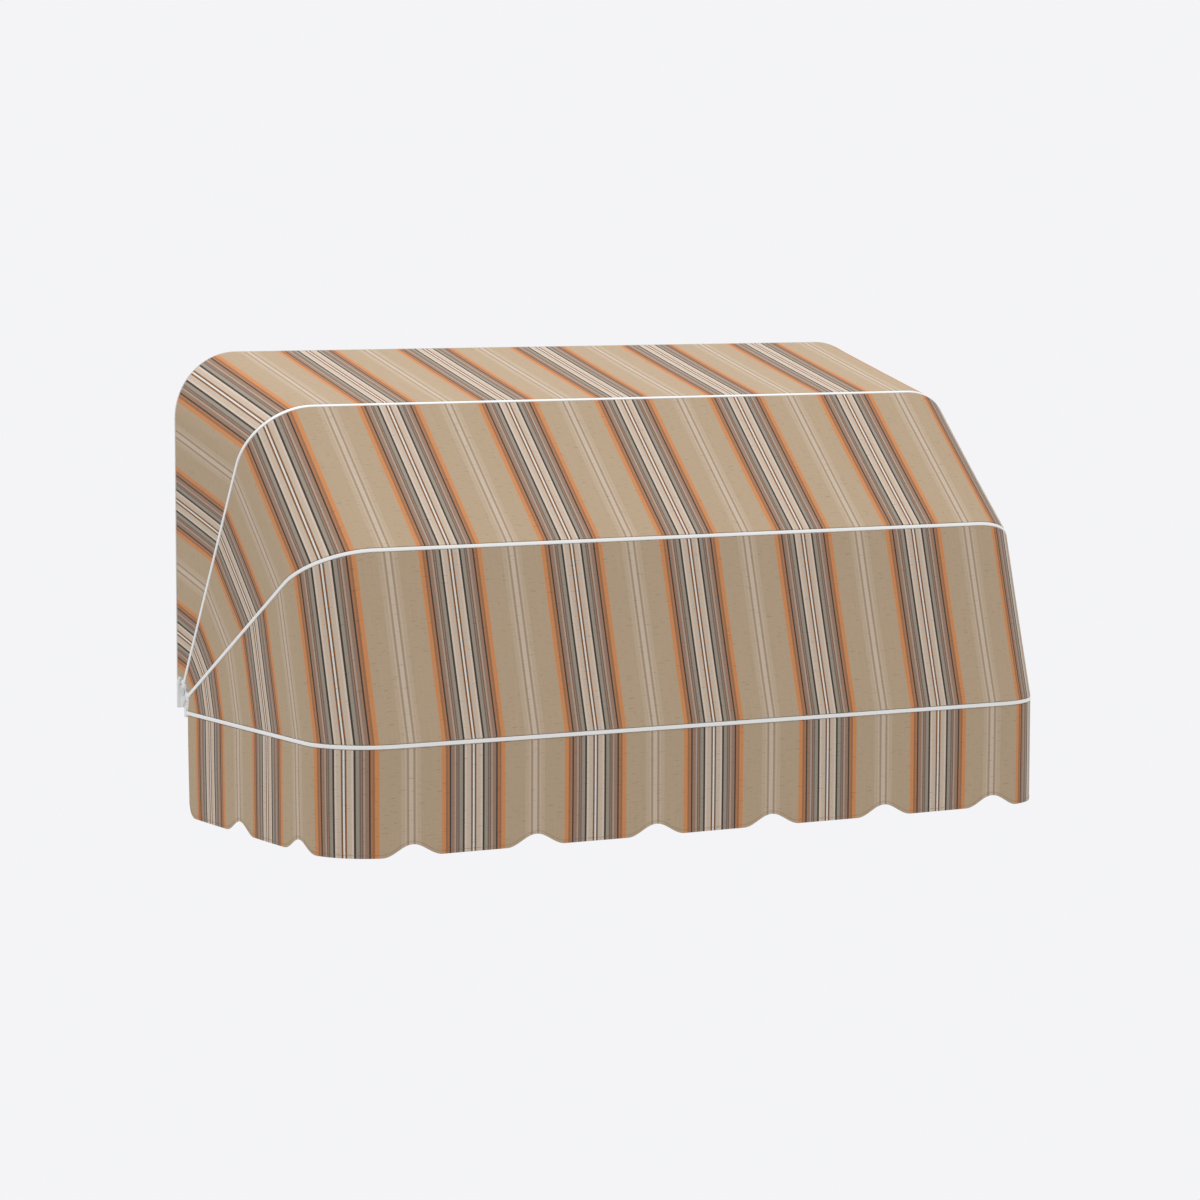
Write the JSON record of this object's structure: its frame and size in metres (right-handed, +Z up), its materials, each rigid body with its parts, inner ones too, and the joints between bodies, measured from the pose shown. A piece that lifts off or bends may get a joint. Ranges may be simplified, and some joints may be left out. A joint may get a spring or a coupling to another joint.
{
  "type": "window awning",
  "caption": "Folding basket awning: a wall bow and hinged hoops in a fan, striped cloth stretched between them, and a scalloped valance.",
  "frame": {"origin": "on the wall, in the middle of the flat back of the wall bow's top bar", "axes": "+X along the wall and the awning's width, +Y into the wall, +Z up"},
  "size_m": [1.5, 0.654, 0.844],
  "materials": {
    "striped_awning_cloth": "woven acrylic awning cloth, sand ground with orange, brown, grey and cream stripes",
    "white_powder_coat": "satin white powder coat on extruded aluminium",
    "white_casting": "painted aluminium casting",
    "zinc_steel": "zinc plated steel",
    "welt_plastic": "plain white PVC cord"
  },
  "bodies": {
    "frame": {"wall_bow": "white_powder_coat", "rear_panel_wall_welt": "welt_plastic", "rear_panel": "striped_awning_cloth", "hinge_bracket_left": "white_casting", "hinge_bracket_right": "white_casting", "wall_screw_left": "zinc_steel", "wall_screw_right": "zinc_steel", "hinge_pin_left": "zinc_steel", "hinge_pin_right": "zinc_steel", "hinge_washer_left": "zinc_steel", "hinge_washer_right": "zinc_steel", "hinge_nut_left": "zinc_steel", "hinge_nut_right": "zinc_steel", "top_clip_left": "white_casting", "top_clip_right": "white_casting", "top_clip_screw_left": "zinc_steel", "top_clip_screw_right": "zinc_steel"},
    "upper_hoop": {"upper_bow": "white_powder_coat", "rear_panel_upper_welt": "welt_plastic", "middle_panel_upper_welt": "welt_plastic", "middle_panel": "striped_awning_cloth", "upper_knuckle_left": "white_casting", "upper_knuckle_right": "white_casting", "upper_screw_left": "zinc_steel", "upper_screw_right": "zinc_steel"},
    "middle_hoop": {"middle_bow": "white_powder_coat", "middle_panel_middle_welt": "welt_plastic", "front_panel_middle_welt": "welt_plastic", "front_panel": "striped_awning_cloth", "middle_knuckle_left": "white_casting", "middle_knuckle_right": "white_casting", "middle_screw_left": "zinc_steel", "middle_screw_right": "zinc_steel"},
    "front_hoop": {"front_bow": "white_powder_coat", "front_panel_front_welt": "welt_plastic", "valance_welt": "welt_plastic", "valance": "striped_awning_cloth", "front_knuckle_left": "white_casting", "front_knuckle_right": "white_casting", "front_screw_left": "zinc_steel", "front_screw_right": "zinc_steel"}
  },
  "joints": [
    {"name": "fold_upper", "type": "hinge", "parent": "frame", "child": "upper_hoop", "pos_m": [0, -0.019, -0.608], "axis": [-1, 0, 0], "range_deg": [0, 30], "deforming": ["rear_panel"]},
    {"name": "fold_middle", "type": "hinge", "parent": "upper_hoop", "child": "middle_hoop", "pos_m": [0, -0.019, -0.608], "axis": [-1, 0, 0], "range_deg": [0, 30], "deforming": ["middle_panel"]},
    {"name": "fold_front", "type": "hinge", "parent": "middle_hoop", "child": "front_hoop", "pos_m": [0, -0.019, -0.608], "axis": [-1, 0, 0], "range_deg": [0, 30], "deforming": ["front_panel"]}
  ],
  "couplings": [
    {"joint": "fold_middle", "follows": "fold_upper", "ratio": 1},
    {"joint": "fold_front", "follows": "fold_upper", "ratio": 1}
  ]
}
